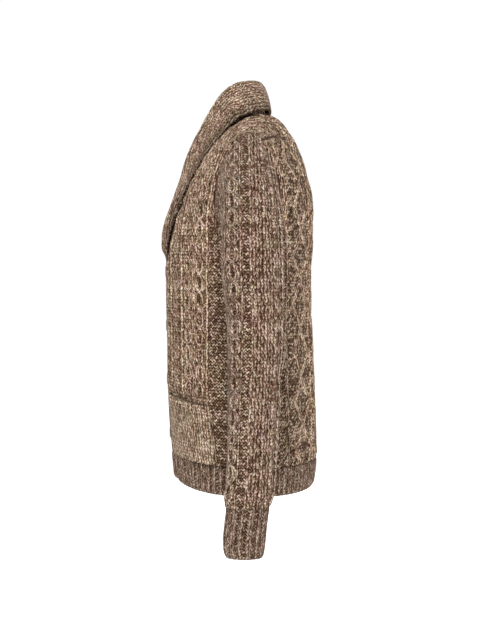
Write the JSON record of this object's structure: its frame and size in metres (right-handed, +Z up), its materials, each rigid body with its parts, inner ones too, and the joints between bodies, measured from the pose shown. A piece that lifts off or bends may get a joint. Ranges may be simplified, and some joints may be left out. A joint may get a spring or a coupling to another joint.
{
  "type": "shawl collar cardigan",
  "caption": "Chunky marled cable-knit cardigan with a folded shawl collar, overlapping button bands, patch pockets, long sleeves and ribbed hem and cuffs, filled out as worn.",
  "frame": {"origin": "centre of the neck at the level of the high shoulder points, where the wearer carries the garment", "axes": "+Z up, front faces -Y, the wearer's left is +X"},
  "size_m": [0.6072, 0.2686, 0.7755],
  "materials": {
    "knit_body": "chunky cable knit in a marled brown and beige wool blend, slightly hairy",
    "knit_rib": "ribbed knit in the same marled brown and beige yarn",
    "button": "horn-coloured button, low sheen"
  },
  "bodies": {
    "root": {"back_panel": "knit_body", "front_panel_L": "knit_body", "front_panel_R": "knit_body", "sleeve_L": "knit_body", "sleeve_R": "knit_body", "pocket_L": "knit_body", "pocket_R": "knit_body", "hem_rib_back": "knit_rib", "hem_rib_front_L": "knit_rib", "hem_rib_front_R": "knit_rib", "cuff_L": "knit_rib", "cuff_R": "knit_rib", "shawl_collar": "knit_rib", "front_band_L": "knit_rib", "front_band_R": "knit_rib", "button_1": "button", "button_2": "button", "button_3": "button", "button_4": "button"}
  },
  "joints": []
}
